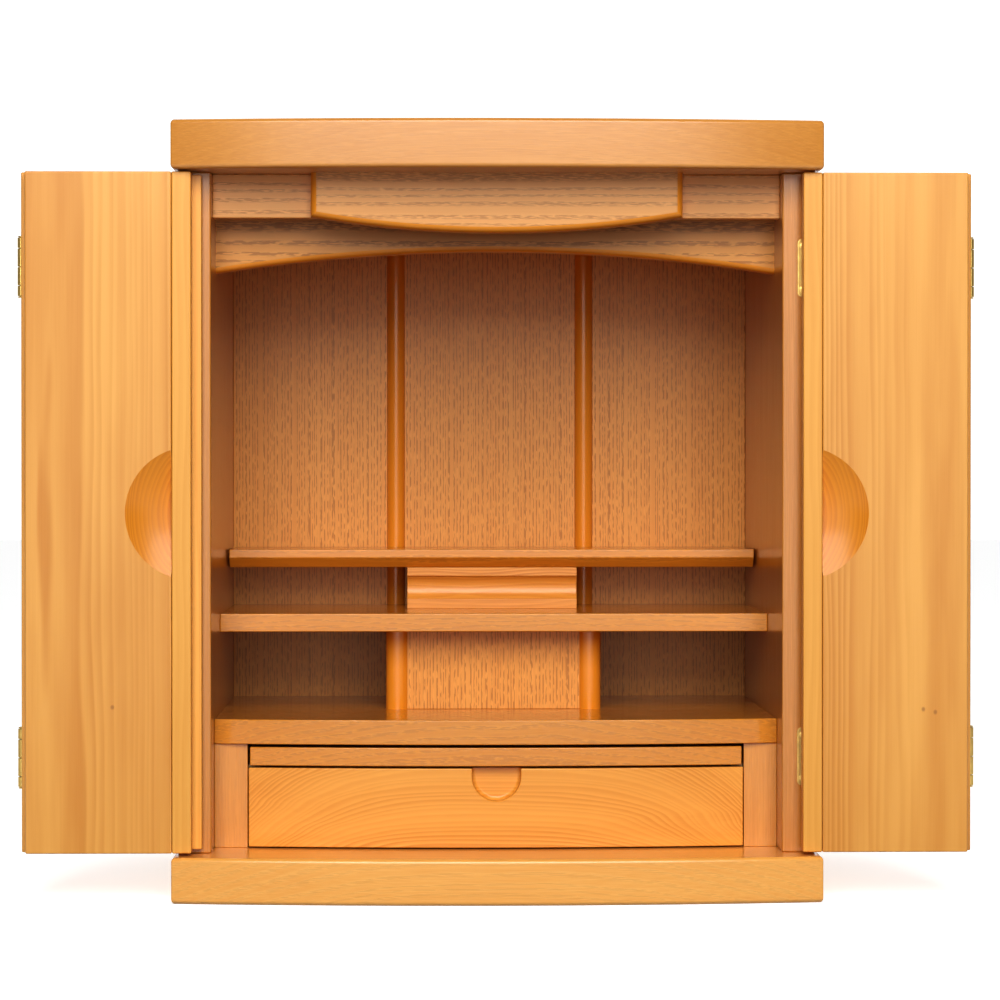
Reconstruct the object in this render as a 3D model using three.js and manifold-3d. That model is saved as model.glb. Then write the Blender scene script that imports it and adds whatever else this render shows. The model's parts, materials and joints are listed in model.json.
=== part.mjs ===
// A table-top household altar cabinet in golden wood, with a pair of bi-fold doors.
// Millimetres, +Z up, the front looks along -Y, and the origin is on the underside, in the
// middle of the footprint. The doors are modelled folded open beside the cabinet.

import * as THREE from 'three';
import { mergeVertices } from 'three/addons/utils/BufferGeometryUtils.js';
import Module from 'manifold-3d';

// Overall size of the closed cabinet
const cabinetWidth = 450;
const cabinetHeight = 540;
const cabinetDepth = 340;

// Plinth and top board, with their bowed fronts
const frontBow = 15.5;
const plinthHeight = 32;
const topBoardThickness = 34;
const boardRounding = 3;
const frontOverhang = 28;
const sideOverhang = 3;

// Side panels and back panel
const sideThickness = 23;
const sideArris = 1.2;
const backThickness = 7;
const backRecess = 3;

// Lintels under the top board, each set back from the front of the side panels
const upperLintelHeight = 30.7;
const upperLintelThickness = 14;
const upperLintelSetback = 17.5;
const centreLintelWidth = 259.6;
const centreLintelEndHeight = 30.5;
const centreLintelBelly = 11.1;
const centreLintelSetback = 2;
const centreLintelChamfer = 6;
const archedLintelEndHeight = 67.2;
const archedLintelRise = 15.7;
const archedLintelThickness = 14;
const archedLintelSetback = 57;
const archedLintelChamfer = 4.6;

// Drawer, tray and the gaps around them
const cheekWidth = 23.5;
const cheekSetback = 37;
const drawerFloorGap = 1;
const drawerFrontHeight = 55.8;
const drawerTrayGap = 1.5;
const trayThickness = 13.1;
const trayTopGap = 2.1;
const drawerSideGap = 0.7;
const traySideGap = 1.7;
const slideSetback = 2;
const drawerFrontThickness = 19;
const drawerBoxInset = 1.2;
const drawerWall = 10;
const drawerBottomThickness = 5;
const drawerBottomLift = 4;
const drawerBoxFloorGap = 0.4;
const drawerRearGap = 30;
const trayRearGap = 30;
const runnerWidth = 8;
const runnerHeight = 9;
const runnerSetback = 48;
const slideGap = 0.3;
const drawerUnderRunnerGap = 2;
const notchWidth = 34.4;
const notchHeight = 22.9;
const notchDepth = 9;
const notchRounding = 3;

// Shelves, with the clear heights between them
const bottomShelfThickness = 17.5;
const bottomShelfSetback = 35.5;
const bottomShelfBow = 15.4;
const lowerClearHeight = 58.3;
const middleShelfThickness = 13.2;
const middleShelfSetback = 105;
const pedestalHeight = 31;
const pedestalWidth = 127.4;
const pedestalSetback = 192;
const pedestalTopSlab = 6.4;
const pedestalBottomSlab = 7.6;
const pedestalCoveDepth = 4.6;
const pedestalCoveStep = 0.8;
const upperShelfThickness = 13.5;
const upperShelfSetback = 193.5;
const upperShelfLip = 6.2;
const upperShelfEndGap = 1.7;

// Posts and the panel between the lower ones
const upperPostSpacing = 145.8;
const upperPostDiameter = 13.9;
const lowerPostSpacing = 141.2;
const lowerPostDiameter = 17;
const lowerPostSetback = 131.5;
const lowerPanelThickness = 8;
const lowerPanelTongue = 3;
const fitGap = 0.3;
const cutOverrun = 1;

// Doors, each of two leaves that fold inside face to inside face
const doorBottomGap = 2.2;
const doorTopGap = 1.4;
const leafThickness = 19;
const leafFaceGap = 2.4;
const foldPitch = 105.5;
const leafToPin = 1.2;
const meetingGap = 1;
const meetingStripWidth = 13.3;
const glueLine = 0.2;
const leafArris = 1;
const foldRebateWidth = 3.5;
const foldRebateDepth = 10;
const tongueReach = 6.5;
const tongueThickness = 5.6;
const tongueSetback = 1.5;
const tongueRebateGap = 0.6;
const scoopRadius = 46;
const scoopDepth = 8.5;
const scoopHeight = 234.8;

// Butt hinges
const hingeLength = 40.4;
const hingeInset = 64.8;
const hingePlateWidth = 15.5;
const hingePlateThickness = 0.9;
const hingeCornerRadius = 3;
const knuckleRadius = 2.3;
const knuckleBore = 1.3;
const pinRadius = 1;
const pinHeadRadius = 2;
const pinHeadHeight = 0.8;
const knuckleGap = 0.4;
const outerKnuckleShare = 0.18;
const knuckleClearance = 0.5;

// Faceting of round stretches
const bowSegments = 16;
const postSegments = 24;
const hingeSegments = 12;
const cornerSegments = 2;
const plateCornerSegments = 3;
const scoopRings = 7;
const scoopSegments = 36;

// Places worked out from the sizes above
const halfWidth = cabinetWidth / 2;
const sideOuter = halfWidth - sideOverhang;
const innerHalf = sideOuter - sideThickness;
const boardEndFront = -cabinetDepth / 2 + frontBow;
const stileFront = boardEndFront + frontOverhang;
const rear = cabinetDepth / 2;
const backWall = rear - backRecess - backThickness;
const carcassTop = cabinetHeight - topBoardThickness;
const drawerFrontBottom = plinthHeight + drawerFloorGap;
const drawerFrontTop = drawerFrontBottom + drawerFrontHeight;
const trayBottom = drawerFrontTop + drawerTrayGap;
const bottomShelfBottom = trayBottom + trayThickness + trayTopGap;
const bottomShelfTop = bottomShelfBottom + bottomShelfThickness;
const middleShelfBottom = bottomShelfTop + lowerClearHeight;
const middleShelfTop = middleShelfBottom + middleShelfThickness;
const upperShelfBottom = middleShelfTop + pedestalHeight;
const cheekInner = innerHalf - cheekWidth;
const drawerHalf = cheekInner - drawerSideGap;
const trayHalf = cheekInner - traySideGap;
const doorBottom = plinthHeight + doorBottomGap;
const doorTop = carcassTop - doorTopGap;
const doorHeight = doorTop - doorBottom;
const doorPinX = halfWidth;
const doorPinY = stileFront - leafFaceGap / 2;
const innerLeafReach = doorPinX - foldPitch - meetingGap / 2;
const hingeHeights = [doorBottom + hingeInset, doorTop - hingeInset];
const sides = [['left', -1], ['right', 1]];

// Finishes
const finishes = {
  door: { color: 0xecb268, roughness: 0.35, metalness: 0 },
  board: { color: 0xdc9d55, roughness: 0.35, metalness: 0 },
  shelf: { color: 0xdd9a5a, roughness: 0.3, metalness: 0 },
  veneer: { color: 0xb9743f, roughness: 0.45, metalness: 0 },
  post: { color: 0xe08a2c, roughness: 0.3, metalness: 0 },
  drawer: { color: 0xf0a54c, roughness: 0.35, metalness: 0 },
  hidden: { color: 0xd9b98c, roughness: 0.6, metalness: 0 },
  brass: { color: 0xc9a95c, roughness: 0.35, metalness: 1 },
};

const library = await Module();
library.setup();

// Solid arithmetic
function solidFrom(geometry) {
  const bare = geometry.clone();
  bare.deleteAttribute('normal');
  bare.deleteAttribute('uv');
  const merged = mergeVertices(bare, 1e-4);
  return new library.Manifold(new library.Mesh({
    numProp: 3,
    vertProperties: merged.attributes.position.array,
    triVerts: new Uint32Array(merged.index.array),
  }));
}

function geometryFrom(solid) {
  const result = solid.getMesh();
  const geometry = new THREE.BufferGeometry();
  geometry.setAttribute('position', new THREE.Float32BufferAttribute(result.vertProperties, 3));
  geometry.setIndex(new THREE.BufferAttribute(result.triVerts, 1));
  geometry.computeVertexNormals();
  return geometry;
}

function cut(geometry, cutters) {
  let solid = solidFrom(geometry);
  for (const cutter of cutters) {
    solid = solid.subtract(solidFrom(cutter));
  }
  return geometryFrom(solid);
}

function join(geometries) {
  let solid = solidFrom(geometries[0]);
  for (const other of geometries.slice(1)) {
    solid = solid.add(solidFrom(other));
  }
  return geometryFrom(solid);
}

function keepInside(geometry, block) {
  return geometryFrom(solidFrom(geometry).intersect(solidFrom(block)));
}

// A right-hand piece mirrored for the left side, with its faces still pointing out
function handed(geometry, side) {
  if (side > 0) {
    return geometry;
  }
  const mirrored = geometryFrom(solidFrom(geometry));
  mirrored.scale(-1, 1, 1);
  const corners = mirrored.index.array;
  for (let i = 0; i < corners.length; i += 3) {
    [corners[i + 1], corners[i + 2]] = [corners[i + 2], corners[i + 1]];
  }
  mirrored.computeVertexNormals();
  return mirrored;
}

// Basic forms
function block(x0, x1, y0, y1, z0, z1) {
  const geometry = new THREE.BoxGeometry(x1 - x0, y1 - y0, z1 - z0);
  return geometry.translate((x0 + x1) / 2, (y0 + y1) / 2, (z0 + z1) / 2);
}

function outlineFrom(points) {
  return new THREE.Shape(points.map(([x, y]) => new THREE.Vector2(x, y)));
}

function upright(outline, height, rounding = 0) {
  const geometry = new THREE.ExtrudeGeometry(outline, {
    depth: height - 2 * rounding,
    curveSegments: bowSegments,
    bevelEnabled: rounding > 0,
    bevelThickness: rounding,
    bevelSize: rounding,
    bevelOffset: -rounding,
    bevelSegments: cornerSegments,
  });
  return geometry.translate(0, 0, rounding);
}

// A profile drawn as (Y, Z) and run along X, centred on X = 0
function alongX(profile, length) {
  const geometry = new THREE.ExtrudeGeometry(profile, {
    depth: length,
    curveSegments: bowSegments,
    bevelEnabled: false,
  });
  const turn = new THREE.Matrix4().makeBasis(
    new THREE.Vector3(0, 1, 0),
    new THREE.Vector3(0, 0, 1),
    new THREE.Vector3(1, 0, 0),
  );
  return geometry.applyMatrix4(turn).translate(-length / 2, 0, 0);
}

// A board drawn from the front as (X, Z), with its front face at Y = 0 and chamfered there
function frontBoard(outline, thickness, chamfer) {
  const geometry = new THREE.ExtrudeGeometry(outline, {
    depth: thickness,
    curveSegments: bowSegments,
    bevelEnabled: true,
    bevelThickness: chamfer,
    bevelSize: chamfer,
    bevelOffset: -chamfer,
    bevelSegments: cornerSegments,
  });
  return geometry.rotateX(Math.PI / 2).translate(0, thickness + chamfer, 0);
}

function rod(radius, height, segments) {
  const geometry = new THREE.CylinderGeometry(radius, radius, height, segments);
  return geometry.rotateX(Math.PI / 2).translate(0, 0, height / 2);
}

function ring(outerRadius, innerRadius, height) {
  const profile = [
    [innerRadius, 0], [outerRadius, 0], [outerRadius, height], [innerRadius, height], [innerRadius, 0],
  ].map(([r, y]) => new THREE.Vector2(r, y));
  return new THREE.LatheGeometry(profile, hingeSegments).rotateX(Math.PI / 2);
}

// Bowed fronts
function bowRadius(halfChord, sagitta) {
  return (halfChord ** 2 + sagitta ** 2) / (2 * sagitta);
}

// A board seen from above: straight sides and back, and an arc of the given radius in front
function bowedOutline(halfChord, endY, radius, backY) {
  const centreY = endY + Math.sqrt(radius ** 2 - halfChord ** 2);
  const sweep = Math.asin(halfChord / radius);
  const outline = new THREE.Shape();
  outline.moveTo(halfChord, backY);
  outline.lineTo(-halfChord, backY);
  outline.lineTo(-halfChord, endY);
  outline.absarc(0, centreY, radius, -Math.PI / 2 - sweep, -Math.PI / 2 + sweep, false);
  outline.closePath();
  return outline;
}

// Pieces of the carcass
function bowedSlab(thickness) {
  const radius = bowRadius(halfWidth, frontBow);
  return upright(bowedOutline(halfWidth, boardEndFront, radius, rear), thickness, boardRounding);
}

function sidePanel() {
  const outline = outlineFrom([
    [0, sideArris], [sideArris, 0], [sideThickness - sideArris, 0],
    [sideThickness, sideArris], [sideThickness, rear - stileFront], [0, rear - stileFront],
  ]);
  return upright(outline, carcassTop - plinthHeight);
}

function centreLintel() {
  const half = centreLintelWidth / 2;
  const radius = bowRadius(half, centreLintelBelly);
  const sweep = Math.asin(half / radius);
  const top = centreLintelEndHeight + centreLintelChamfer;
  const outline = new THREE.Shape();
  outline.moveTo(half, top);
  outline.lineTo(-half, top);
  outline.lineTo(-half, 0);
  const centreZ = radius - centreLintelBelly;
  outline.absarc(0, centreZ, radius, -Math.PI / 2 - sweep, -Math.PI / 2 + sweep, false);
  outline.closePath();
  const thickness = upperLintelSetback - centreLintelSetback;
  const keep = block(-half, half, 0, thickness, -centreLintelBelly, centreLintelEndHeight);
  return keepInside(frontBoard(outline, thickness, centreLintelChamfer), keep);
}

function archedLintel() {
  const radius = bowRadius(innerHalf, archedLintelRise);
  const half = innerHalf + archedLintelChamfer;
  const sweep = Math.asin(half / radius);
  const centreZ = archedLintelRise - radius;
  const endZ = centreZ + Math.sqrt(radius ** 2 - half ** 2);
  const top = archedLintelEndHeight + archedLintelChamfer;
  const outline = new THREE.Shape();
  outline.moveTo(half, top);
  outline.lineTo(-half, top);
  outline.lineTo(-half, endZ);
  outline.absarc(0, centreZ, radius, Math.PI / 2 + sweep, Math.PI / 2 - sweep, true);
  outline.closePath();
  const keep = block(-innerHalf, innerHalf, 0, archedLintelThickness, endZ, archedLintelEndHeight);
  return keepInside(frontBoard(outline, archedLintelThickness, archedLintelChamfer), keep);
}

function upperShelf() {
  const depth = backWall - (stileFront + upperShelfSetback);
  const undercut = upperShelfThickness - upperShelfLip;
  const profile = outlineFrom([
    [0, upperShelfThickness], [0, undercut], [undercut, 0], [depth, 0], [depth, upperShelfThickness],
  ]);
  const board = alongX(profile, 2 * (innerHalf - upperShelfEndGap));
  const notches = sides.map(([, side]) => {
    const notch = rod(upperPostDiameter / 2 + fitGap, upperShelfThickness + 2 * cutOverrun, postSegments);
    return notch.translate(side * upperPostSpacing / 2, depth, -cutOverrun);
  });
  return cut(board, notches);
}

function pedestal() {
  const depth = backWall - (stileFront + pedestalSetback);
  const coveTop = pedestalHeight - pedestalTopSlab;
  const coveMiddle = (coveTop + pedestalBottomSlab) / 2;
  // A quadratic curve reaches half way from its ends to its control point
  const coveControl = 2 * pedestalCoveDepth - pedestalCoveStep;
  const profile = new THREE.Shape();
  profile.moveTo(depth, 0);
  profile.lineTo(depth, pedestalHeight);
  profile.lineTo(0, pedestalHeight);
  profile.lineTo(0, coveTop);
  profile.lineTo(pedestalCoveStep, coveTop);
  profile.quadraticCurveTo(coveControl, coveMiddle, pedestalCoveStep, pedestalBottomSlab);
  profile.lineTo(0, pedestalBottomSlab);
  profile.lineTo(0, 0);
  profile.closePath();
  return alongX(profile, pedestalWidth);
}

function bottomShelf() {
  const radius = bowRadius(innerHalf, bottomShelfBow);
  const outline = bowedOutline(innerHalf, stileFront + bottomShelfSetback, radius, backWall);
  return upright(outline, bottomShelfThickness);
}

// The half-round post stands with its flat face on the back panel
function upperPost() {
  const radius = upperPostDiameter / 2;
  const outline = new THREE.Shape();
  outline.absarc(0, 0, radius, Math.PI, 2 * Math.PI, false);
  outline.closePath();
  return upright(outline, carcassTop - middleShelfTop);
}

// The round post has a groove down its inner side for the panel's edge
function lowerPost() {
  const radius = lowerPostDiameter / 2;
  const reach = lowerPanelThickness / 2 + fitGap;
  const grooveBottom = lowerPanelTongue + fitGap - radius;
  const grooveTop = lowerClearHeight + cutOverrun;
  const groove = block(-2 * radius, grooveBottom, -reach, reach, -cutOverrun, grooveTop);
  return cut(rod(radius, lowerClearHeight, postSegments), [groove]);
}

function lowerCentrePanel() {
  const half = lowerPostSpacing / 2 - lowerPostDiameter / 2 + lowerPanelTongue;
  return block(-half, half, -lowerPanelThickness / 2, lowerPanelThickness / 2, 0, lowerClearHeight);
}

// Drawer and tray
const slideEndFront = stileFront + bottomShelfSetback + slideSetback;
const slideFrontMiddle = slideEndFront - bottomShelfBow;
const drawerFrontBack = slideFrontMiddle + drawerFrontThickness;
const drawerBoxHalf = drawerHalf - drawerBoxInset;
const drawerBoxBottom = plinthHeight + drawerBoxFloorGap;
const drawerBoxLength = backWall - drawerRearGap - drawerFrontBack;
const runnerTop = trayBottom - slideGap;
const drawerBoxHeight = runnerTop - runnerHeight - drawerUnderRunnerGap - drawerBoxBottom;

function slideOutline(half, backY) {
  const radius = bowRadius(innerHalf, bottomShelfBow);
  const centreY = slideEndFront + Math.sqrt(radius ** 2 - innerHalf ** 2);
  return bowedOutline(half, centreY - Math.sqrt(radius ** 2 - half ** 2), radius, backY);
}

function drawerFront() {
  const front = upright(slideOutline(drawerHalf, drawerFrontBack), drawerFrontHeight);
  const radius = notchWidth / 2;
  const over = 2 * notchRounding;
  const pocket = new THREE.Shape();
  pocket.moveTo(radius, radius + over);
  pocket.lineTo(-radius, radius + over);
  pocket.lineTo(-radius, 0);
  pocket.absarc(0, 0, radius, Math.PI, 2 * Math.PI, false);
  pocket.closePath();
  const cutter = new THREE.ExtrudeGeometry(pocket, {
    depth: notchDepth + over,
    curveSegments: bowSegments,
    bevelEnabled: true,
    bevelThickness: notchRounding,
    bevelSize: notchRounding,
    bevelOffset: -notchRounding,
    bevelSegments: cornerSegments,
  });
  cutter.rotateX(Math.PI / 2);
  const notchBack = slideFrontMiddle + notchDepth - notchRounding;
  cutter.translate(0, notchBack, drawerFrontHeight - notchHeight + radius);
  return cut(front, [cutter]);
}

function addDrawer(cabinet) {
  const drawer = new THREE.Group();
  drawer.position.set(0, 0, drawerFrontBottom);
  cabinet.add(drawer);
  const boxZ = drawerBoxBottom - drawerFrontBottom;
  const inner = drawerBoxHalf - drawerWall;
  addPiece(drawer, 'drawer_front', drawerFront(), 'drawer', [0, 0, 0]);
  for (const [name, side] of sides) {
    const wall = handed(block(inner, drawerBoxHalf, 0, drawerBoxLength, 0, drawerBoxHeight), side);
    addPiece(drawer, `drawer_${name}_side`, wall, 'hidden', [0, drawerFrontBack, boxZ]);
  }
  const back = block(-inner, inner, drawerBoxLength - drawerWall, drawerBoxLength, 0, drawerBoxHeight);
  addPiece(drawer, 'drawer_back', back, 'hidden', [0, drawerFrontBack, boxZ]);
  const bottom = block(-inner, inner, 0, drawerBoxLength - drawerWall, 0, drawerBottomThickness);
  addPiece(drawer, 'drawer_bottom', bottom, 'hidden', [0, drawerFrontBack, boxZ + drawerBottomLift]);
}

function addTray(cabinet) {
  const board = upright(slideOutline(trayHalf, backWall - trayRearGap), trayThickness);
  addPiece(cabinet, 'tray', board, 'shelf', [0, 0, trayBottom]);
}

// Hinges. A plate lies in the (X, Z) plane with its pin on the Z axis, and its near edge
// is sunk in the wall of its knuckles.
const plateNearEdge = knuckleBore + (knuckleRadius - knuckleBore) / 4;
const pinShankLength = hingeLength + 2 * knuckleGap;
const pinLength = pinShankLength + 2 * pinHeadHeight;

function knuckleSpans() {
  const free = hingeLength - 3 * knuckleGap;
  const shares = [outerKnuckleShare, 0.5 - outerKnuckleShare, 0.5 - outerKnuckleShare, outerKnuckleShare];
  const spans = [];
  let z = -hingeLength / 2;
  for (const share of shares) {
    spans.push([z, z + free * share]);
    z += free * share + knuckleGap;
  }
  return spans;
}

// reach is the direction of the plate along X, and faceY its back face, against the wood
function hingePlate(reach, faceY, ownsOuterTop) {
  const spans = knuckleSpans().filter((span, i) => (i % 2 === 1) === ownsOuterTop);
  const half = hingeLength / 2;
  const corner = hingeCornerRadius;
  const outline = new THREE.Shape();
  outline.moveTo(plateNearEdge, -half);
  outline.lineTo(hingePlateWidth - corner, -half);
  outline.absarc(hingePlateWidth - corner, -half + corner, corner, -Math.PI / 2, 0, false);
  outline.absarc(hingePlateWidth - corner, half - corner, corner, 0, Math.PI / 2, false);
  outline.lineTo(plateNearEdge, half);
  outline.closePath();
  const plate = new THREE.ExtrudeGeometry(outline, {
    depth: hingePlateThickness,
    curveSegments: plateCornerSegments,
    bevelEnabled: false,
  });
  plate.rotateX(Math.PI / 2);
  plate.translate(0, faceY > 0 ? faceY : faceY + hingePlateThickness, 0);
  const others = knuckleSpans().filter((span, i) => (i % 2 === 1) !== ownsOuterTop);
  const clear = others.map(([low, high]) => {
    const room = knuckleRadius + knuckleClearance;
    return block(-room, room, -room, room, low - knuckleGap, high + knuckleGap);
  });
  const tubes = spans.map(([low, high]) => {
    return ring(knuckleRadius, knuckleBore, high - low).translate(0, 0, low);
  });
  return handed(join([cut(plate, clear), ...tubes]), reach);
}

function hingePin() {
  const shank = rod(pinRadius, pinShankLength, hingeSegments).translate(0, 0, -pinShankLength / 2);
  const lowHead = rod(pinHeadRadius, pinHeadHeight, hingeSegments);
  const highHead = lowHead.clone();
  lowHead.translate(0, 0, -pinLength / 2);
  highHead.translate(0, 0, pinShankLength / 2);
  return join([shank, lowHead, highHead]);
}

// Room cut in a leaf's edge for the knuckles of its hinges, around a pin at the given X
function knuckleRoom(pinX) {
  const height = pinLength + 2 * knuckleGap;
  return hingeHeights.map((z) => {
    const room = rod(knuckleRadius + knuckleClearance, height, hingeSegments);
    return room.translate(pinX, 0, z - doorBottom - height / 2);
  });
}

// Door leaves, in plan around their pins, drawn for the right side
function outerLeaf() {
  const near = leafToPin;
  const far = foldPitch - leafToPin;
  const inside = leafFaceGap / 2;
  const outside = inside + leafThickness;
  const outline = outlineFrom([
    [near, inside], [far, inside], [far, outside - leafArris], [far - leafArris, outside],
    [near + leafArris, outside], [near, outside - leafArris],
  ]);
  return cut(upright(outline, doorHeight), [...knuckleRoom(0), ...knuckleRoom(foldPitch)]);
}

// The inner leaf reaches inwards from the fold pins to its meeting strip. Folded, it also
// lies over the knuckles of the frame hinges.
function innerLeaf() {
  const near = -leafToPin;
  const far = -(innerLeafReach - meetingStripWidth - glueLine);
  const inside = -leafFaceGap / 2;
  const outside = inside - leafThickness;
  const outline = outlineFrom([
    [far, inside], [far, outside + leafArris], [far + leafArris, outside],
    [near - foldRebateWidth - leafArris, outside], [near - foldRebateWidth, outside + leafArris],
    [near - foldRebateWidth, outside + foldRebateDepth], [near, outside + foldRebateDepth],
    [near, inside],
  ]);
  const sphere = bowRadius(scoopRadius, scoopDepth);
  const profile = [];
  for (let i = 0; i <= scoopRings; i += 1) {
    const r = scoopRadius * i / scoopRings;
    profile.push(new THREE.Vector2(r, scoopDepth - sphere + Math.sqrt(sphere ** 2 - r ** 2)));
  }
  profile.push(new THREE.Vector2(scoopRadius, -scoopDepth));
  profile.push(new THREE.Vector2(0, -scoopDepth));
  const scoop = new THREE.LatheGeometry(profile.reverse(), scoopSegments);
  scoop.translate(-(innerLeafReach + meetingGap / 2), outside, scoopHeight);
  return cut(upright(outline, doorHeight), [scoop, ...knuckleRoom(0), ...knuckleRoom(-foldPitch)]);
}

// Both strips have a rebate behind their meeting edge: the left one's holds the tongue, and
// the right one's takes the part of it that stands out when the doors are closed.
const tongueStep = tongueReach + tongueRebateGap - meetingGap;

function meetingStrip() {
  const near = -(innerLeafReach - meetingStripWidth);
  const far = -innerLeafReach;
  const inside = -leafFaceGap / 2;
  const outside = inside - leafThickness;
  const rebate = inside - tongueThickness - tongueRebateGap;
  const outline = outlineFrom([
    [near, inside], [far + tongueStep, inside], [far + tongueStep, rebate], [far, rebate],
    [far, outside + leafArris], [far + leafArris, outside],
    [near - leafArris, outside], [near, outside + leafArris],
  ]);
  return cut(upright(outline, doorHeight), knuckleRoom(-foldPitch));
}

function tongue() {
  const inside = -leafFaceGap / 2;
  const far = -innerLeafReach;
  const hidden = far + tongueStep - glueLine;
  const height = doorHeight - 2 * tongueSetback;
  return block(far - tongueReach, hidden, inside - tongueThickness, inside, 0, height);
}

function addDoor(cabinet, name, side) {
  const outerHalf = new THREE.Group();
  outerHalf.position.set(side * doorPinX, doorPinY, doorBottom);
  cabinet.add(outerHalf);
  addPiece(outerHalf, `${name}_outer_leaf`, handed(outerLeaf(), side), 'door', [0, 0, 0]);

  const innerHalfDoor = new THREE.Group();
  innerHalfDoor.position.set(side * foldPitch, 0, 0);
  outerHalf.add(innerHalfDoor);
  addPiece(innerHalfDoor, `${name}_inner_leaf`, handed(innerLeaf(), side), 'door', [0, 0, 0]);
  const strip = handed(meetingStrip(), side);
  addPiece(innerHalfDoor, `${name}_meeting_strip`, strip, 'door', [0, 0, 0]);
  if (side < 0) {
    addPiece(innerHalfDoor, `${name}_tongue`, handed(tongue(), side), 'door', [0, 0, tongueSetback]);
  }

  // The plates lie on the inside faces, with the leaves' face gap between the two faces
  const woodFace = leafFaceGap / 2;
  hingeHeights.forEach((height, i) => {
    const level = ['lower', 'upper'][i];
    const z = height - doorBottom;
    const parts = [
      [outerHalf, `${name}_${level}_frame_plate`, hingePlate(-side, woodFace, false)],
      [outerHalf, `${name}_${level}_frame_pin`, hingePin()],
      [outerHalf, `${name}_${level}_door_plate`, hingePlate(side, woodFace, true)],
      [innerHalfDoor, `${name}_${level}_fold_outer_plate`, hingePlate(-side, woodFace, false)],
      [innerHalfDoor, `${name}_${level}_fold_pin`, hingePin()],
      [innerHalfDoor, `${name}_${level}_fold_inner_plate`, hingePlate(-side, -woodFace, true)],
    ];
    for (const [group, pieceName, geometry] of parts) {
      addPiece(group, pieceName, geometry, 'brass', [0, 0, z]);
    }
  });
}

function addPiece(group, name, geometry, finish, [x, y, z]) {
  const mesh = new THREE.Mesh(geometry, new THREE.MeshStandardMaterial(finishes[finish]));
  mesh.name = name;
  mesh.position.set(x, y, z);
  group.add(mesh);
}

function addCarcass(cabinet) {
  const carcassHeight = carcassTop - plinthHeight;
  addPiece(cabinet, 'plinth', bowedSlab(plinthHeight), 'board', [0, 0, 0]);
  addPiece(cabinet, 'top_board', bowedSlab(topBoardThickness), 'board', [0, 0, carcassTop]);
  for (const [name, side] of sides) {
    addPiece(cabinet, `${name}_side_panel`, handed(sidePanel(), side), 'board',
      [side * innerHalf, stileFront, plinthHeight]);
  }
  const back = block(-innerHalf, innerHalf, 0, backThickness, 0, carcassHeight);
  addPiece(cabinet, 'back_panel', back, 'veneer', [0, backWall, plinthHeight]);

  const upperLintel = block(-innerHalf, innerHalf, 0, upperLintelThickness, 0, upperLintelHeight);
  addPiece(cabinet, 'upper_lintel', upperLintel, 'veneer',
    [0, stileFront + upperLintelSetback, carcassTop - upperLintelHeight]);
  addPiece(cabinet, 'centre_lintel', centreLintel(), 'veneer',
    [0, stileFront + centreLintelSetback, carcassTop - centreLintelEndHeight]);
  addPiece(cabinet, 'arched_lintel', archedLintel(), 'veneer',
    [0, stileFront + archedLintelSetback, carcassTop - archedLintelEndHeight]);

  addPiece(cabinet, 'bottom_shelf', bottomShelf(), 'shelf', [0, 0, bottomShelfBottom]);
  const middleDepth = backWall - (stileFront + middleShelfSetback);
  const middleShelf = block(-innerHalf, innerHalf, 0, middleDepth, 0, middleShelfThickness);
  addPiece(cabinet, 'middle_shelf', middleShelf, 'shelf',
    [0, stileFront + middleShelfSetback, middleShelfBottom]);
  addPiece(cabinet, 'pedestal', pedestal(), 'drawer',
    [0, stileFront + pedestalSetback, middleShelfTop]);
  addPiece(cabinet, 'upper_shelf', upperShelf(), 'shelf',
    [0, stileFront + upperShelfSetback, upperShelfBottom]);

  const postAxisY = stileFront + lowerPostSetback + lowerPostDiameter / 2;
  const centrePanel = lowerCentrePanel();
  addPiece(cabinet, 'lower_centre_panel', centrePanel, 'veneer', [0, postAxisY, bottomShelfTop]);
  const cheekY = stileFront + cheekSetback;
  const cheekHeight = bottomShelfBottom - plinthHeight;
  const runnerLength = backWall - (stileFront + runnerSetback);
  for (const [name, side] of sides) {
    addPiece(cabinet, `${name}_upper_post`, upperPost(), 'post',
      [side * upperPostSpacing / 2, backWall, middleShelfTop]);
    addPiece(cabinet, `${name}_lower_post`, handed(lowerPost(), side), 'post',
      [side * lowerPostSpacing / 2, postAxisY, bottomShelfTop]);
    const cheek = handed(block(cheekInner, innerHalf, 0, backWall - cheekY, 0, cheekHeight), side);
    addPiece(cabinet, `${name}_drawer_cheek`, cheek, 'board', [0, cheekY, plinthHeight]);
    const runner = block(cheekInner - runnerWidth, cheekInner, 0, runnerLength, 0, runnerHeight);
    addPiece(cabinet, `${name}_tray_runner`, handed(runner, side), 'hidden',
      [0, stileFront + runnerSetback, runnerTop - runnerHeight]);
  }
}

const cabinet = new THREE.Group();
addCarcass(cabinet);
addDrawer(cabinet);
addTray(cabinet);
for (const [name, side] of sides) {
  addDoor(cabinet, name, side);
}

export default cabinet;
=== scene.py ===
# The looks of a table-top household altar cabinet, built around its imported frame.
# Metres, +Z up, and the front looks along -Y. The doors are folded open at rest.

import json
import math

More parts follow.
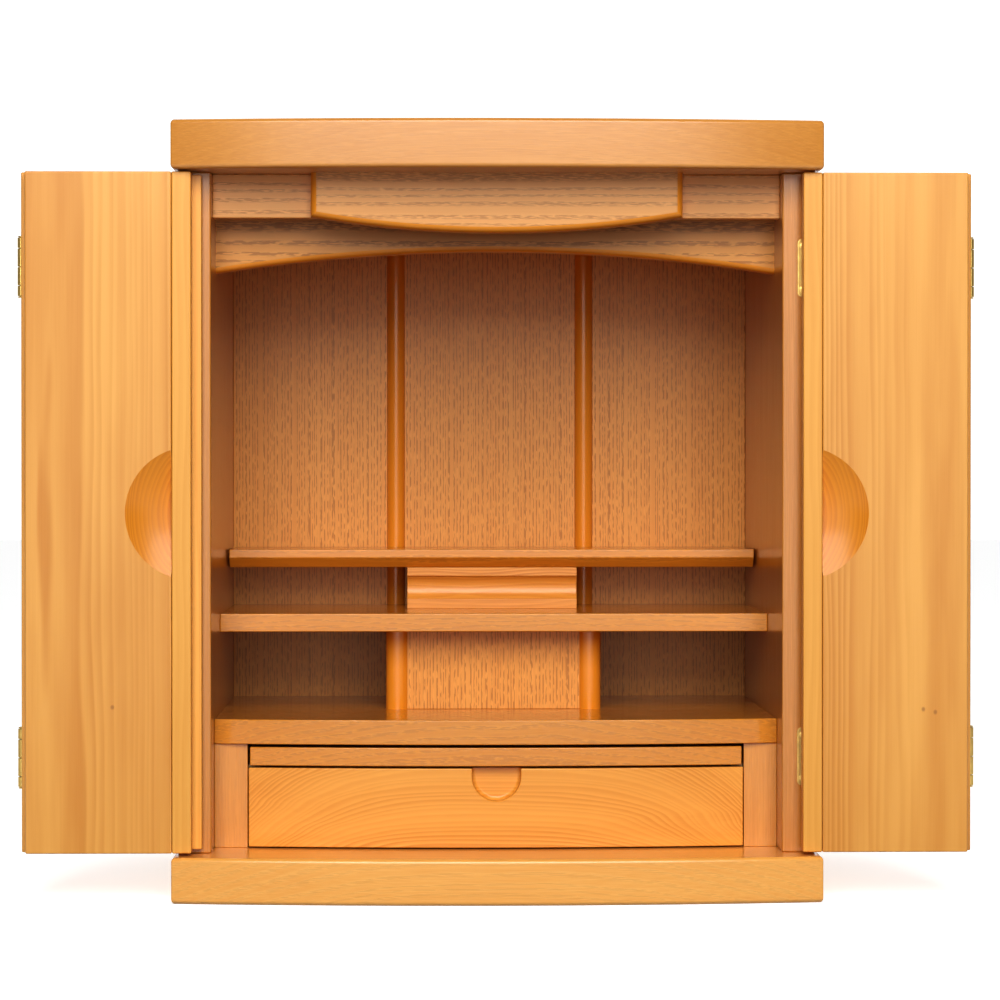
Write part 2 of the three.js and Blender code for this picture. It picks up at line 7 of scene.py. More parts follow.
import bmesh
import bpy
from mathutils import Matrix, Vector

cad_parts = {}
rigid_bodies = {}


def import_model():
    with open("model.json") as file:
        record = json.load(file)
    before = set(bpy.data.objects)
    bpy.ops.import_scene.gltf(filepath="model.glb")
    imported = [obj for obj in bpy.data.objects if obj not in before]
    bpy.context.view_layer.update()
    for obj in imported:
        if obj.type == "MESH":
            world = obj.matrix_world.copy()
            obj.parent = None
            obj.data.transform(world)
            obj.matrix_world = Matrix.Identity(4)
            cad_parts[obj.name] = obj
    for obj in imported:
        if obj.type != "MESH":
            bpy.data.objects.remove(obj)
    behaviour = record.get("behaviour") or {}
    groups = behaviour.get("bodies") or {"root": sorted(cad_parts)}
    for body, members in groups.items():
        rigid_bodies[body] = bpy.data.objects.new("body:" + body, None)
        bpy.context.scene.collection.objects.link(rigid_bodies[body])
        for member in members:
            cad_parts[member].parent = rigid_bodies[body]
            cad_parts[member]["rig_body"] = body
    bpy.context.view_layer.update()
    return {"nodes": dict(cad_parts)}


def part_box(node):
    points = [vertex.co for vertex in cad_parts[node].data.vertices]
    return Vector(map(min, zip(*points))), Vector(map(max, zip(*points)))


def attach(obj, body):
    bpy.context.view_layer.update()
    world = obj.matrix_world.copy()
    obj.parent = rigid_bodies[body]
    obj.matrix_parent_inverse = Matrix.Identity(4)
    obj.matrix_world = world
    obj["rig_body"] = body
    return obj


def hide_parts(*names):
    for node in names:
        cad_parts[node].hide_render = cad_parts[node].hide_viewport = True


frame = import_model()
scene = bpy.context.scene
MM = 0.001

# Camera, found from the perspective of the photograph, which is 1000 pixels square
FOCAL_PIXELS = 3515
IMAGE_PIXELS = 1000
SENSOR_WIDTH = 36
CAMERA_PLACE = (-48.9 * MM, -2574.5 * MM, 301 * MM)
CAMERA_DIRECTION = (0.0208, 1.0, -0.0094)
CAMERA_CLIP = 50

# Strength of the light from the room in front and from the wall behind, and where it changes
ROOM_LIGHT = 0.03
WALL_LIGHT = 1.2
ROOM_END = -0.2
WALL_START = 0.8

# A floor that stays pale in the picture, and a view gamma below 1, which deepens the shadows
FLOOR_GLOW = 0.55
FLOOR_REACH = 12
PICTURE_GAMMA = 0.8

# Each softbox has a name, a place, a target, its width and height, and its power in watts
SOFTBOXES = (
    ("front_softbox", (0.05, -3.0, 0.5), (0.05, 0, 0.35), (1.9, 0.9), 15),
    ("key_softbox", (0, -2.7, 1.75), (0, 0, 0.3), (1.8, 1.9), 100),
)

# Forms of the carcass that the frame's boxes don't give
BOARD_BOW = 15.5 * MM
SHELF_BOW = 15.4 * MM
BOARD_ROUNDING = 3 * MM
BOARD_CORNER_ROUNDING = 1 * MM
SIDE_PANEL_ROUNDING = 1.2 * MM
EDGE_ROUNDING = 0.8 * MM
UPPER_SHELF_ROUNDING = 0.7 * MM
PEDESTAL_ROUNDING = 0.35 * MM
FINE_ARRIS = 0.5 * MM
LIPPING_TOLERANCE = 0.05 * MM
CENTRE_LINTEL_BELLY = 11.1 * MM
CENTRE_LINTEL_CHAMFER = 6 * MM
ARCHED_LINTEL_RISE = 15.7 * MM
ARCHED_LINTEL_CHAMFER = 4.6 * MM
SHELF_LIP = 6.2 * MM
PEDESTAL_TOP_SLAB = 6.4 * MM
PEDESTAL_BOTTOM_SLAB = 7.6 * MM
PEDESTAL_COVE_DEPTH = 4.6 * MM
PEDESTAL_COVE_STEP = 0.8 * MM
POST_SPACING = 145.8 * MM
POST_NOTCH_RADIUS = 7.25 * MM
PANEL_TONGUE = 3 * MM
PANEL_GROOVE_GAP = 0.3 * MM

# The finger notch of the drawer
NOTCH_WIDTH = 34.4 * MM
NOTCH_HEIGHT = 22.9 * MM
NOTCH_DEPTH = 9 * MM
NOTCH_ROUNDING = 3 * MM
NOTCH_RIM = 0.5 * MM
NOTCH_LEAD = 2 * MM

# The leaves of the doors
LEAF_ARRIS = 1 * MM
FOLD_REBATE_WIDTH = 3.5 * MM
FOLD_REBATE_DEPTH = 10 * MM
TONGUE_REBATE_GAP = 0.6 * MM
TONGUE_THICKNESS = 5.6 * MM
MEETING_LINE = 211 * MM
MEETING_STRIP_STEP = 6.1 * MM
SCOOP_RADIUS = 46 * MM
SCOOP_DEPTH = 8.5 * MM
SCOOP_Z = 269 * MM
SCOOP_RIM = 0.4 * MM
SCOOP_FACE_TOLERANCE = 0.2 * MM
KNUCKLE_ROOM = 2.8 * MM

# The hinges and their screws
HINGE_LENGTH = 40.4 * MM
PLATE_REACH = 15.5 * MM
PLATE_NEAR_EDGE = 1.55 * MM
PLATE_THICKNESS = 0.9 * MM
PLATE_CORNER = 3 * MM
PLATE_RIM = 1.3 * MM
PLATE_RIM_ROUNDING = 0.2 * MM
PLATE_TOLERANCE = 0.01 * MM
PLATE_RECESS = 0.2 * MM
KNUCKLE_RADIUS = 2.3 * MM
KNUCKLE_ROUNDING = 0.25 * MM
KNUCKLE_BORE = 1.3 * MM
KNUCKLE_GAP = 0.4 * MM
KNUCKLE_SHARES = (0.18, 0.32, 0.32, 0.18)
KNUCKLE_CLEARANCE = 0.5 * MM
PIN_RADIUS = 1 * MM
PIN_HEAD_RADIUS = 2 * MM
PIN_HEAD_HEIGHT = 0.8 * MM
PIN_HEAD_CHAMFER = 0.3 * MM
FACE_TO_PIN = 1.2 * MM
SCREW_RADIUS = 2.2 * MM
SCREW_DOME = 0.26 * MM
SCREW_STEP = 0.04 * MM
SCREW_SUNK = 0.3 * MM
SLOT_REACH = 1.3 * MM
SLOT_HALF_WIDTH = 0.25 * MM
SLOT_FLOOR = 0.02 * MM
SCREW_PLACES = ((12 * MM, 15 * MM), (12 * MM, -15 * MM), (8.5 * MM, 0))

# Points closer than this are joined after a cut
WELD_DISTANCE = 0.002 * MM

SIDES = (("left", -1), ("right", 1))
LEVELS = ("lower", "upper")

# X and Z of the small knots on the front of the inner leaves
DOOR_KNOTS = {
    "left": ((-265.7 * MM, 135.3 * MM),),
    "right": ((294.9 * MM, 133.2 * MM), (303.2 * MM, 131.2 * MM)),
}


# Where an outline's two coordinates and the level along each axis go in a point
AXES = {"X": (1, 2, 0), "Y": (0, 2, 1), "Z": (0, 1, 2)}


def low(node):
    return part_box(node)[0]


def high(node):
    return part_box(node)[1]


def placed(axis, a, b, level):
    """A point of an outline drawn across the axis, at a level along it."""
    first, second, third = AXES[axis]
    point = [0.0, 0.0, 0.0]
    point[first] = a
    point[second] = b
    point[third] = level
    return point


def bow_radius(half_chord, sagitta):
    """The radius of an arc that rises by the sagitta over its chord."""
    return (half_chord ** 2 + sagitta ** 2) / (2 * sagitta)


def arc(radius, start, end, steps):
    """Points round the origin, with angles from +X, anticlockwise."""
    angles = [start + (end - start) * i / steps for i in range(steps + 1)]
    return [(radius * math.cos(angle), radius * math.sin(angle)) for angle in angles]


def lofted(rings):
    """A closed body through rings of points, each ring as long as the next."""
    bm = bmesh.new()
    loops = [[bm.verts.new(point) for point in ring] for ring in rings]
    bm.faces.new(loops[0])
    bm.faces.new(loops[-1])
    count = len(loops[0])
    for near, far in zip(loops, loops[1:]):
        for i in range(count):
            j = (i + 1) % count
            bm.faces.new((near[i], near[j], far[j], far[i]))
    bmesh.ops.recalc_face_normals(bm, faces=bm.faces)
    return bm


def prism(outline, start, end, axis="Z"):
    """An outline run along an axis. It is drawn as (Y, Z), (X, Z) or (X, Y)."""
    return lofted([[placed(axis, a, b, level) for a, b in outline] for level in (start, end)])


def box_outline(node):
    (x0, y0, _), (x1, y1, _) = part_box(node)
    return [(x0, y0), (x1, y0), (x1, y1), (x0, y1)]


def ease(bm, width, segments=4, where=lambda middle: True, steep=40):
    """Rounds the steep edges whose middle passes the test."""
    edges = []
    for edge in bm.edges:
        middle = (edge.verts[0].co + edge.verts[1].co) / 2
        if edge.calc_face_angle(0) > math.radians(steep) and where(middle):
            edges.append(edge)
    bmesh.ops.bevel(bm, geom=edges, offset=width, offset_type="OFFSET", segments=segments,
                    profile=0.5, affect="EDGES", clamp_overlap=True)
    return bm


def loose_object(bm, name="cutter"):
    """An object outside the part, for a floor or a cut."""
    mesh = bpy.data.meshes.new(name)
    bm.to_mesh(mesh)
    bm.free()
    loose = bpy.data.objects.new(name, mesh)
    scene.collection.objects.link(loose)
    return loose


def cut(bm, cutters, operation="DIFFERENCE"):
    """The body less the cutters, or joined to them."""
    target = loose_object(bm, "target")
    tools = [loose_object(cutter) for cutter in cutters]
    for tool in tools:
        boolean = target.modifiers.new("cut", "BOOLEAN")
        boolean.operation = operation
        boolean.solver = "EXACT"
        boolean.object = tool
    bpy.context.view_layer.update()
    result = bmesh.new()
    result.from_object(target, bpy.context.evaluated_depsgraph_get())
    for used in [target] + tools:
        mesh = used.data
        bpy.data.objects.remove(used)
        bpy.data.meshes.remove(mesh)
    bmesh.ops.remove_doubles(result, verts=result.verts, dist=WELD_DISTANCE)
    return result


def lathe(profile, centre, axis="Z", segments=48):
    """A body of revolution. The profile is (radius, place on the axis) and starts and ends at radius 0."""
    bm = bmesh.new()
    middle = Vector(centre)
    loops = []
    for radius, level in profile:
        if radius == 0:
            loops.append([bm.verts.new(Vector(placed(axis, 0, 0, level)) + middle)])
            continue
        ring = arc(radius, 0, 2 * math.pi, segments)[:-1]
        loops.append([bm.verts.new(Vector(placed(axis, a, b, level)) + middle) for a, b in ring])
    for near, far in zip(loops, loops[1:]):
        for i in range(segments):
            j = (i + 1) % segments
            corners = [near[i % len(near)], near[j % len(near)], far[j % len(far)], far[i % len(far)]]
            bm.faces.new(list(dict.fromkeys(corners)))
    bmesh.ops.recalc_face_normals(bm, faces=bm.faces)
    return bm


def rod(radius, start, end, centre, segments=48):
    """A round upright body."""
    return lathe([(0, start), (radius, start), (radius, end), (0, end)], centre, segments=segments)


def riding_piece(node, kind, bm, material, sharp):
    """A piece named after a CAD node, on the node's body."""
    mesh = bpy.data.meshes.new(f"{node}_{kind}")
    bm.to_mesh(mesh)
    bm.free()
    mesh.shade_smooth()
    mesh.set_sharp_from_angle(angle=math.radians(sharp))
    mesh.materials.append(material)
    piece = bpy.data.objects.new(f"{node}_{kind}", mesh)
    scene.collection.objects.link(piece)
    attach(piece, frame["nodes"][node]["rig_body"])
    return piece


def add_piece(node, bm, material, kind="wood", sharp=35):
    """A piece that stands in place of its CAD node."""
    piece = riding_piece(node, kind, bm, material, sharp)
    even = piece.modifiers.new("even_shading", "WEIGHTED_NORMAL")
    even.keep_sharp = True
    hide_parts(node)
    return piece


# Material helpers

def tone(red, green, blue):
    """A colour as it is read off a screen, from 0 to 255, in linear light."""
    def linear(value):
        share = value / 255
        if share <= 0.04045:
            return share / 12.92
        return ((share + 0.055) / 1.055) ** 2.4
    return (linear(red), linear(green), linear(blue), 1.0)


class Shader:
    """A material's nodes, added one call at a time."""

    def __init__(self, name):
        self.material = bpy.data.materials.new(name)
        self.material.use_nodes = True
        self.tree = self.material.node_tree
        self.surface = self.tree.nodes["Principled BSDF"]

    def feed(self, socket, value):
        if isinstance(value, bpy.types.NodeSocket):
            self.tree.links.new(value, socket)
        else:
            socket.default_value = value

    def add(self, kind, inputs, **settings):
        node = self.tree.nodes.new("ShaderNode" + kind)
        for key, value in settings.items():
            setattr(node, key, value)
        for key, value in inputs.items():
            self.feed(node.inputs[key], value)
        return node

    def place(self):
        return self.add("TexCoord", {}).outputs["Object"]

    def math(self, operation, a, b=0.0, c=0.0):
        return self.add("Math", {0: a, 1: b, 2: c}, operation=operation).outputs[0]

    def stretched(self, vector, scale, shift=(0, 0, 0)):
        return self.add("Mapping", {"Vector": vector, "Scale": scale, "Location": shift}).outputs[0]

    def noise(self, vector, detail=2.0, roughness=0.5, distortion=0.0):
        inputs = {"Vector": vector, "Scale": 1.0, "Detail": detail, "Roughness": roughness,
                  "Distortion": distortion}
        return self.add("TexNoise", inputs).outputs["Fac"]

    def span(self, value, start, end, first=0.0, last=1.0, smooth=False):
        inputs = {"Value": value, "From Min": start, "From Max": end, "To Min": first, "To Max": last}
        kind = "SMOOTHSTEP" if smooth else "LINEAR"
        return self.add("MapRange", inputs, interpolation_type=kind).outputs[0]

    def mix(self, share, a, b, blend="MIX"):
        node = self.add("Mix", {}, data_type="RGBA", blend_type=blend)
        for socket, value in ((0, share), (6, a), (7, b)):
            self.feed(node.inputs[socket], value)
        return node.outputs[2]

    def bump(self, height, distance, strength=1.0, normal=None):
        inputs = {"Height": height, "Distance": distance, "Strength": strength}
        if normal is not None:
            inputs["Normal"] = normal
        return self.add("Bump", inputs).outputs[0]


# Woods

GRAIN_AXES = {"X": (0, (1, 2)), "Y": (1, (0, 2)), "Z": (2, (0, 1))}
DRIFT_WIDTH = 0.05
RIPPLE_WIDTH = 0.012
CLOUD_WIDTH = 0.028
CLOUD_LENGTH = 0.35
FIBRE_WIDTH = 0.9 * MM
KNOT_CORE = 0.5 * MM
KNOT_RADIUS = 1.8 * MM
GRAIN_RELIEF = 0.06 * MM


def along(axis, across, length):
    """How a texture is scaled, from its size across the grain and along it."""
    scale = [1 / across] * 3
    scale[GRAIN_AXES[axis][0]] = 1 / length
    return scale


def wood(name, axis, light, dark, seed, centre=(0, 0, 0), pith=(0.02, 0.09), ring_width=4 * MM,
         ring_contrast=0.5, wander=3 * MM, wander_length=0.12, crown=0.0, crown_reach=1.0,
         broad=0.5, fibre=0.3, fibre_length=30 * MM,
         pores=0.0, pore_width=0.9 * MM, pore_length=6 * MM, pore_rows=0.85, pore_tone=(151, 86, 31),
         roughness=0.42, satin=0.1, coat=0.5, coat_roughness=0.2, relief=1.0, knots=()):
    """Varnished wood whose rings run round a pith along the axis, placed from the board's centre.

    wander bends the rings, and crown closes them towards the board's two ends. broad, fibre and
    ring_contrast say how much of the colour comes from clouds, fibres and rings. pores darkens
    the open pores, which lie in rows between the rings. knots are the X and Z of small dark knots.
    """
    s = Shader(name)
    place = s.place()
    shift = (seed * 1.37, seed * 0.71, seed * 2.13)
    along_index, (first, second) = GRAIN_AXES[axis]

    # Distance from the pith, bent by a slow drift and a finer ripple
    drift = s.noise(s.stretched(place, along(axis, DRIFT_WIDTH, wander_length), shift), 2.0)
    ripple = s.noise(s.stretched(place, along(axis, RIPPLE_WIDTH, wander_length * 0.4), shift), 1.0)
    parts = s.add("SeparateXYZ", {0: place}).outputs
    a = s.math("SUBTRACT", parts[first], centre[first] + pith[0])
    b = s.math("SUBTRACT", parts[second], centre[second] + pith[1])
    radius = s.math("SQRT", s.math("ADD", s.math("MULTIPLY", a, a), s.math("MULTIPLY", b, b)))
    radius = s.math("MULTIPLY_ADD", drift, 4 * wander, radius)
    radius = s.math("MULTIPLY_ADD", ripple, wander, radius)
    if crown:
        reach = s.math("SUBTRACT", parts[along_index], centre[along_index])
        reach = s.math("POWER", s.math("DIVIDE", s.math("ABSOLUTE", reach), crown_reach), 3.0)
        radius = s.math("MULTIPLY_ADD", reach, crown, radius)

    # Rings of uneven width and strength, each darkening slowly and ending sharply
    count = s.math("DIVIDE", radius, ring_width)
    uneven = s.add("TexNoise", {"W": count, "Scale": 0.31, "Detail": 1.0}, noise_dimensions="1D")
    count = s.math("MULTIPLY_ADD", uneven.outputs["Fac"], 2.2, count)
    share = s.math("FRACT", count)
    rise = s.span(share, 0.0, 0.78, 0.0, 1.0, smooth=True)
    fall = s.span(share, 0.8, 1.0, 1.0, 0.0, smooth=True)
    ring = s.math("MULTIPLY", rise, fall)
    strength = s.add("TexNoise", {"W": count, "Scale": 0.13, "Detail": 0.0}, noise_dimensions="1D")
    ring = s.math("MULTIPLY", ring, s.span(strength.outputs["Fac"], 0.3, 0.7, 0.35, 1.0))

    # Broad clouds and fine fibres
    cloud = s.noise(s.stretched(place, along(axis, CLOUD_WIDTH, CLOUD_LENGTH), shift), 3.0, 0.55, 0.4)
    fibres = s.noise(s.stretched(place, along(axis, FIBRE_WIDTH, fibre_length), shift), 3.0, 0.6)
    depth = s.math("MULTIPLY", ring, ring_contrast)
    depth = s.math("MULTIPLY_ADD", s.span(cloud, 0.3, 0.7, -0.5, 0.5), broad, depth)
    depth = s.math("MULTIPLY_ADD", s.span(fibres, 0.25, 0.75, -0.5, 0.5), fibre, depth)
    colour = s.mix(s.span(depth, -0.3, 1.1), tone(*light), tone(*dark))
    height = s.math("MULTIPLY", s.span(fibres, 0.2, 0.8), 0.35)
    if pores:
        fine = s.noise(s.stretched(place, along(axis, pore_width, pore_length), shift), 1.0, 0.5)
        rows = s.span(share, 0.25, 0.55, 1.0, 1 - pore_rows, smooth=True)
        pore = s.math("MULTIPLY", s.span(fine, 0.4, 0.54, 0.0, 1.0, smooth=True), rows)
        colour = s.mix(s.math("MULTIPLY", pore, pores), colour, tone(*pore_tone))
        height = s.math("MULTIPLY_ADD", pore, -1.0, height)
    for x, z in knots:
        offset = s.add("VectorMath", {0: place, 1: (x, centre[1], z)}, operation="SUBTRACT").outputs[0]
        flat = s.add("VectorMath", {0: offset, 1: (1, 0, 0.8)}, operation="MULTIPLY").outputs[0]
        away = s.add("VectorMath", {0: flat}, operation="LENGTH").outputs["Value"]
        dot = s.span(away, KNOT_CORE, KNOT_RADIUS, 0.6, 0.0, smooth=True)
        colour = s.mix(dot, colour, tone(*pore_tone))
    s.feed(s.surface.inputs["Base Color"], colour)
    s.feed(s.surface.inputs["Roughness"], s.span(fibres, 0.2, 0.8, roughness - 0.05, roughness + 0.07))
    s.feed(s.surface.inputs["Normal"], s.bump(height, GRAIN_RELIEF * relief, 0.7))
    s.surface.inputs["Specular IOR Level"].default_value = satin
    s.surface.inputs["Coat Weight"].default_value = coat
    s.surface.inputs["Coat Roughness"].default_value = coat_roughness
    return s.material


def node_centre(node):
    return (low(node) + high(node)) / 2


# Every wood takes the next number, so no two boards share a figure
seeds = iter(range(1, 200))


def door_wood(node, pith, knots=()):
    return wood(f"{node}_alder", "Z", (236, 178, 92), (212, 144, 58), next(seeds), node_centre(node),
                pith=pith, ring_width=2.8 * MM, ring_contrast=0.85, wander=1.2 * MM, wander_length=0.35,
                broad=0.9, fibre=0.25, fibre_length=90 * MM, coat=0.6, coat_roughness=0.2, relief=0.4,
                knots=knots)


def strip_wood(node):
    return wood(f"{node}_alder", "Z", (238, 180, 90), (222, 156, 66), next(seeds), node_centre(node),
                pith=(0.05, 0.03), ring_width=5 * MM, ring_contrast=0.6, wander=3 * MM,
                wander_length=0.3, broad=0.5, fibre=0.4, fibre_length=90 * MM, coat=0.5,
                coat_roughness=0.3, relief=0.4)


def board_wood(node, axis, light=(217, 154, 71), dark=(196, 130, 51)):
    return wood(f"{node}_ash", axis, light, dark, next(seeds), node_centre(node),
                pith=(0.35, 0.2), ring_width=2.2 * MM, ring_contrast=0.5, wander=1 * MM,
                broad=0.4, fibre=0.8, fibre_length=45 * MM, pores=0.12, pore_width=0.6 * MM,
                pore_length=14 * MM, coat=1.0, coat_roughness=0.2)


def plinth_wood(node):
    return board_wood(node, "X", light=(248, 188, 100), dark=(236, 164, 74))


def edge_wood(node, axis="X"):
    return wood(f"{node}_ash", axis, (222, 154, 52), (198, 122, 26), next(seeds), node_centre(node),
                pith=(0.22, 0.16), ring_width=2.6 * MM, ring_contrast=0.5, wander=1.5 * MM,
                broad=0.3, fibre=0.5, pores=0.3, coat=1.0, coat_roughness=0.16)


def side_wood(node):
    return board_wood(node, "Z", light=(206, 142, 62), dark=(184, 118, 40))


def pedestal_wood(node):
    return wood(f"{node}_pine", "X", (224, 158, 72), (196, 124, 44), next(seeds), node_centre(node),
                pith=(0.03, -0.04), ring_width=2 * MM, ring_contrast=1.0, wander=1.5 * MM, broad=0.3,
                fibre=0.5, coat=0.6, coat_roughness=0.2, relief=0.4)


def panel_wood(node, axis="Z", pores=0.6, pore_width=0.9 * MM, light=(228, 168, 88),
               dark=(214, 146, 68), pith=(0.4, 0.1)):
    return wood(f"{node}_oak", axis, light, dark, next(seeds), node_centre(node),
                pith=pith, ring_width=2.5 * MM, ring_contrast=0.5, wander=0.8 * MM, wander_length=0.5,
                broad=0.25, fibre=0.3, pores=pores, pore_width=pore_width, pore_rows=0.96,
                roughness=0.5, coat=0.4, coat_roughness=0.3, relief=0.6)


# The lintel's paler, pinker tone is partly the wood's own and partly a painted reflection of the front
# softbox.
def lintel_wood(node):
    return panel_wood(node, "X", pores=0.45, pore_width=0.5 * MM, light=(236, 180, 112),
                      dark=(222, 158, 88), pith=(0.3, 0.12))


def scoop_wood(node, pith):
    """The concave cut runs down through the rings, which show as nested ovals."""
    return wood(f"{node}_scoop", "Z", (226, 152, 40), (204, 122, 24), next(seeds), node_centre(node),
                pith=pith, ring_width=1.5 * MM, ring_contrast=0.9, wander=1.2 * MM, wander_length=0.2,
                broad=0.2, fibre=0.2, coat=0.5, coat_roughness=0.2, relief=0.4)


def post_wood(node):
    return wood(f"{node}_beech", "Z", (228, 151, 44), (215, 132, 33), next(seeds), node_centre(node),
                pith=(0.05, 0.04), ring_width=5 * MM, ring_contrast=0.3, wander=1 * MM,
                broad=0.3, fibre=0.2, coat=0.8, coat_roughness=0.2, relief=0.4)


def drawer_wood(node):
    return wood(f"{node}_pine", "X", (238, 176, 84), (214, 142, 50), next(seeds), node_centre(node),
                pith=(0.0, -0.05), ring_width=3.4 * MM, ring_contrast=1.0, wander=5 * MM,
                wander_length=0.5, broad=0.4, fibre=0.2, coat=0.6, coat_roughness=0.2, relief=0.4,
                crown=60 * MM, crown_reach=0.18)


def plain_wood(node, axis):
    return wood(f"{node}_plain", axis, (228, 196, 149), (207, 169, 119), next(seeds), node_centre(node),
                pith=(0.1, 0.08), ring_width=5 * MM, ring_contrast=0.5, wander=3 * MM,
                broad=0.5, fibre=0.5, pores=0.15, roughness=0.6, coat=0.0)


# The deeper orange of the lintels' rims stands for faces that catch no softbox reflection, set against the
# fronts' painted reflection.
def chamfer_wood(name):
    return wood(name, "X", (233, 156, 46), (220, 136, 33), next(seeds),
                pith=(0.05, 0.04), ring_width=5 * MM, ring_contrast=0.2, wander=1 * MM,
                broad=0.2, fibre=0.2, coat=0.6, coat_roughness=0.25, relief=0.4)


def brass():
    """Brushed brass with a faint, uneven tarnish."""
    s = Shader("satin_brass")
    place = s.place()
    tarnish = s.noise(s.stretched(place, (220, 220, 220)), 4.0, 0.6)
    brushed = s.noise(s.stretched(place, (2500, 2500, 300)), 2.0)
    colour = s.mix(s.span(tarnish, 0.35, 0.7), tone(200, 172, 104), tone(176, 150, 92))
    s.feed(s.surface.inputs["Base Color"], colour)
    s.feed(s.surface.inputs["Roughness"], s.span(tarnish, 0.3, 0.7, 0.3, 0.46))
    s.feed(s.surface.inputs["Normal"], s.bump(brushed, 0.01 * MM, 0.5))
    s.surface.inputs["Metallic"].default_value = 1.0
    return s.material


# Carcass

def bowed_outline(half, middle_y, radius, back_y, steps=64):
    """A board seen from above: straight sides and back, and an arc in front."""
    sweep = math.asin(half / radius)
    front = arc(radius, -math.pi / 2 - sweep, -math.pi / 2 + sweep, steps)
    return [(x, y + middle_y + radius) for x, y in front] + [(half, back_y), (-half, back_y)]


def rounding_slab(outline, z0, z1, rounding, steps=6):
    """A slab whose upper and lower edges are rounded over, by shrinking its outline."""
    xs = [x for x, _ in outline]
    ys = [y for _, y in outline]
    middle_x = (min(xs) + max(xs)) / 2
    middle_y = (min(ys) + max(ys)) / 2
    half_x = (max(xs) - min(xs)) / 2
    half_y = (max(ys) - min(ys)) / 2
    rings = []
    for base, direction in ((z0, 1), (z1, -1)):
        angles = [math.pi / 2 * i / steps for i in range(steps + 1)]
        if direction < 0:
            angles.reverse()
        for angle in angles:
            inset = rounding * (1 - math.sin(angle))
            wide = 1 - inset / half_x
            deep = 1 - inset / half_y
            z = base + direction * rounding * (1 - math.cos(angle))
            rings.append([
                (middle_x + (x - middle_x) * wide, middle_y + (y - middle_y) * deep, z)
                for x, y in outline
            ])
    return lofted(rings)


def add_slab(node):
    (_, y0, z0), (x1, y1, z1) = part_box(node)
    radius = bow_radius(x1, BOARD_BOW)
    bm = rounding_slab(bowed_outline(x1, y0, radius, y1), z0, z1, BOARD_ROUNDING)
    ease(bm, BOARD_CORNER_ROUNDING, 3, steep=50)
    material = plinth_wood(node) if node == "plinth" else board_wood(node, "X")
    add_piece(node, bm, material)


def add_box(node, material, width=FINE_ARRIS, segments=3):
    (_, _, z0), (_, _, z1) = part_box(node)
    bm = prism(box_outline(node), z0, z1)
    add_piece(node, ease(bm, width, segments), material)


def bowed_body(node):
    """The bottom shelf, tray and drawer front are bowed by one radius."""
    radius = bow_radius(high("bottom_shelf").x, SHELF_BOW)
    (_, y0, z0), (x1, y1, z1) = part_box(node)
    return ease(prism(bowed_outline(x1, y0, radius, y1), z0, z1), EDGE_ROUNDING, 4)


def add_bowed_board(node):
    add_piece(node, bowed_body(node), edge_wood(node))


def add_centre_lintel():
    node = "centre_lintel"
    (x0, y0, z0), (x1, y1, z1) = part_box(node)
    radius = bow_radius(x1, CENTRE_LINTEL_BELLY)
    sweep = math.asin(x1 / radius)
    lower = [(x, z + z0 + radius) for x, z in arc(radius, -math.pi / 2 - sweep, -math.pi / 2 + sweep, 64)]
    outline = lower + [(x1, z1), (x0, z1)]
    bm = prism(outline, y0, y1, "Y")

    def at_front_rim(middle):
        return middle.y < y0 + FINE_ARRIS and middle.z < z1 - FINE_ARRIS
    ease(bm, CENTRE_LINTEL_CHAMFER, 8, at_front_rim)
    piece = add_piece(node, bm, lintel_wood(node))
    paint_unsheened_rim(piece, chamfer_wood("centre_lintel_unsheened_rim"), y0)


def add_arched_lintel():
    node = "arched_lintel"
    (x0, y0, z0), (x1, y1, z1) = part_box(node)
    half = high("upper_lintel").x
    radius = bow_radius(half, ARCHED_LINTEL_RISE)
    sweep = math.asin(x1 / radius)
    top = z0 + ARCHED_LINTEL_RISE
    lower = [(x, z + top - radius) for x, z in arc(radius, math.pi / 2 + sweep, math.pi / 2 - sweep, 64)]
    outline = lower + [(x1, z1), (x0, z1)]
    bm = prism(outline, y0, y1, "Y")

    def at_lower_rim(middle):
        return middle.y < y0 + FINE_ARRIS and middle.z < z1 - FINE_ARRIS and abs(middle.x) < x1 - FINE_ARRIS
    ease(bm, ARCHED_LINTEL_CHAMFER, 8, at_lower_rim)
    piece = add_piece(node, bm, panel_wood(node, "X"))
    paint_unsheened_rim(piece, chamfer_wood("arched_lintel_unsheened_rim"), y0)


def paint_unsheened_rim(piece, material, front_y):
    """Every face but the front takes the deeper orange rim wood, which stands for faces that catch no
    reflection; the front keeps its paler tone, which holds a painted reflection.
    """
    piece.data.materials.append(material)
    for polygon in piece.data.polygons:
        if polygon.center.y > front_y + LIPPING_TOLERANCE:
            polygon.material_index = 1


def add_upper_shelf():
    node = "upper_shelf"
    (x0, y0, z0), (x1, y1, z1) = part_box(node)
    undercut = z1 - z0 - SHELF_LIP
    outline = [(y0, z1), (y0, z0 + undercut), (y0 + undercut, z0), (y1, z0), (y1, z1)]
    bm = ease(prism(outline, x0, x1, "X"), UPPER_SHELF_ROUNDING, 4, steep=30)
    notches = []
    for _, side in SIDES:
        centre = (side * POST_SPACING / 2, y1, 0)
        notches.append(rod(POST_NOTCH_RADIUS, z0 - MM, z1 + MM, centre))
    add_piece(node, cut(bm, notches), edge_wood(node))


